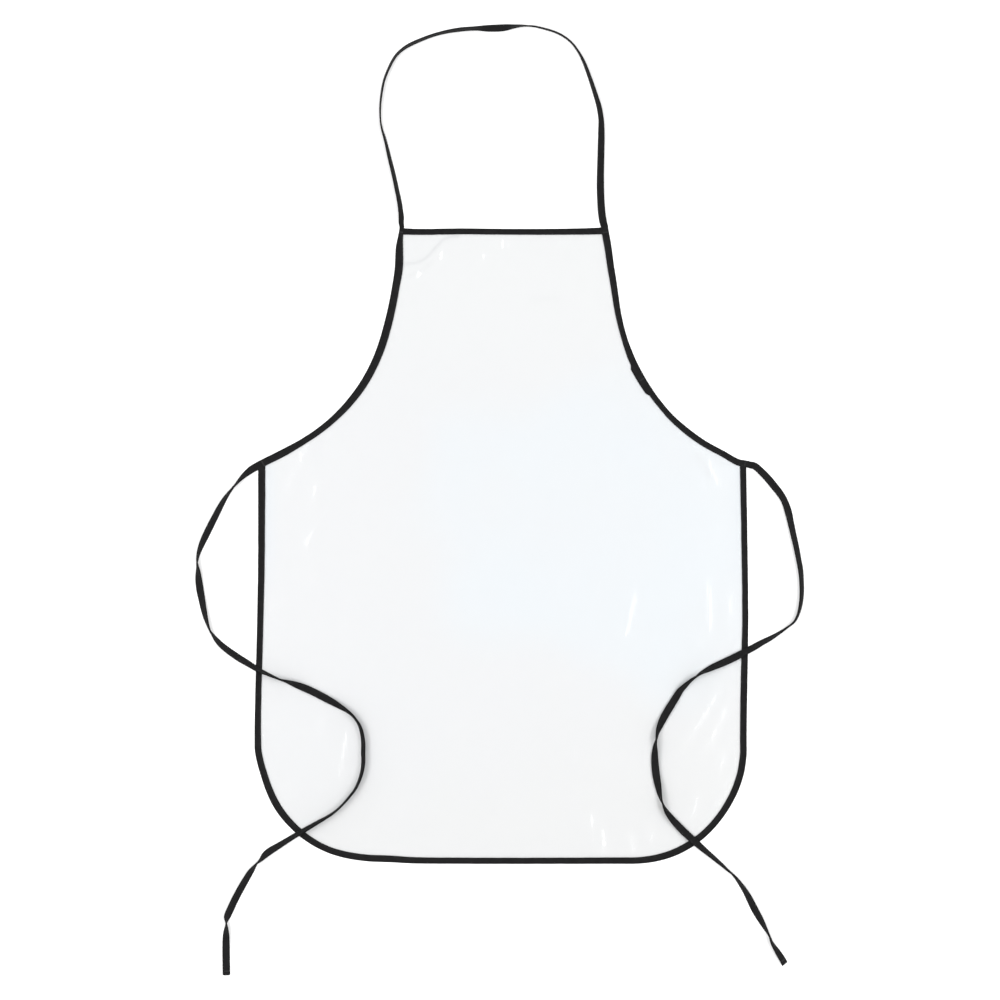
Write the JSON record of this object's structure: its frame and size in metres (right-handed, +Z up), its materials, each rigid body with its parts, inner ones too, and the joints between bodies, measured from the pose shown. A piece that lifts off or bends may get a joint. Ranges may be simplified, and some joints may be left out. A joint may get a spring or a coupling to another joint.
{
  "type": "clear salon apron",
  "caption": "See-through bib apron laid out flat, its edges bound in folded woven tape that runs on as a neck loop and waist ties.",
  "frame": {"origin": "middle of the bound sheet, on the surface that the apron lies on", "axes": "+X across the apron to the right as seen from above its front, +Y from the hem to the neck, +Z up off the surface"},
  "size_m": [0.7144, 1.117, 0.0106],
  "materials": {
    "clear_vinyl": "clear glossy flexible film, very faintly blue-grey",
    "woven_tape": "matt charcoal black woven binding tape, folded lengthwise",
    "sewing_thread": "matt black sewing thread"
  },
  "bodies": {
    "apron": {"vinyl_panel": "clear_vinyl", "bib_top_binding": "woven_tape", "side_and_hem_binding": "woven_tape", "left_armhole_binding": "woven_tape", "right_armhole_upper_binding": "woven_tape", "right_armhole_lower_binding": "woven_tape", "armhole_splice_lap": "woven_tape", "armhole_splice_bar_tack": "sewing_thread", "bib_top_stitching": "sewing_thread", "side_and_hem_stitching": "sewing_thread", "left_armhole_stitching": "sewing_thread", "right_armhole_upper_stitching": "sewing_thread", "right_armhole_lower_stitching": "sewing_thread", "left_bib_bar_tack": "sewing_thread", "right_bib_bar_tack": "sewing_thread", "left_waist_bar_tack": "sewing_thread", "right_waist_bar_tack": "sewing_thread"},
    "neck_loop": {"neck_strap": "woven_tape", "neck_strap_stitching": "sewing_thread"},
    "left_tie": {"left_waist_tie": "woven_tape", "left_tie_stitching": "sewing_thread", "left_tie_end_tack": "sewing_thread"},
    "right_tie": {"right_waist_tie": "woven_tape", "right_tie_stitching": "sewing_thread", "right_tie_end_tack": "sewing_thread"}
  },
  "joints": [
    {"name": "neck_loop_fold", "type": "hinge", "parent": "apron", "child": "neck_loop", "pos_m": [0, 0.37345, 0.0016], "axis": [1, 0, 0], "range_deg": [0, 150]},
    {"name": "left_tie_swing", "type": "hinge", "parent": "apron", "child": "left_tie", "pos_m": [-0.28786, 0.09785, 0.00057], "axis": [0, 0, 1], "range_deg": [-90, 0]},
    {"name": "right_tie_swing", "type": "hinge", "parent": "apron", "child": "right_tie", "pos_m": [0.28852, 0.09937, 0.00057], "axis": [0, 0, 1], "range_deg": [0, 90]}
  ]
}
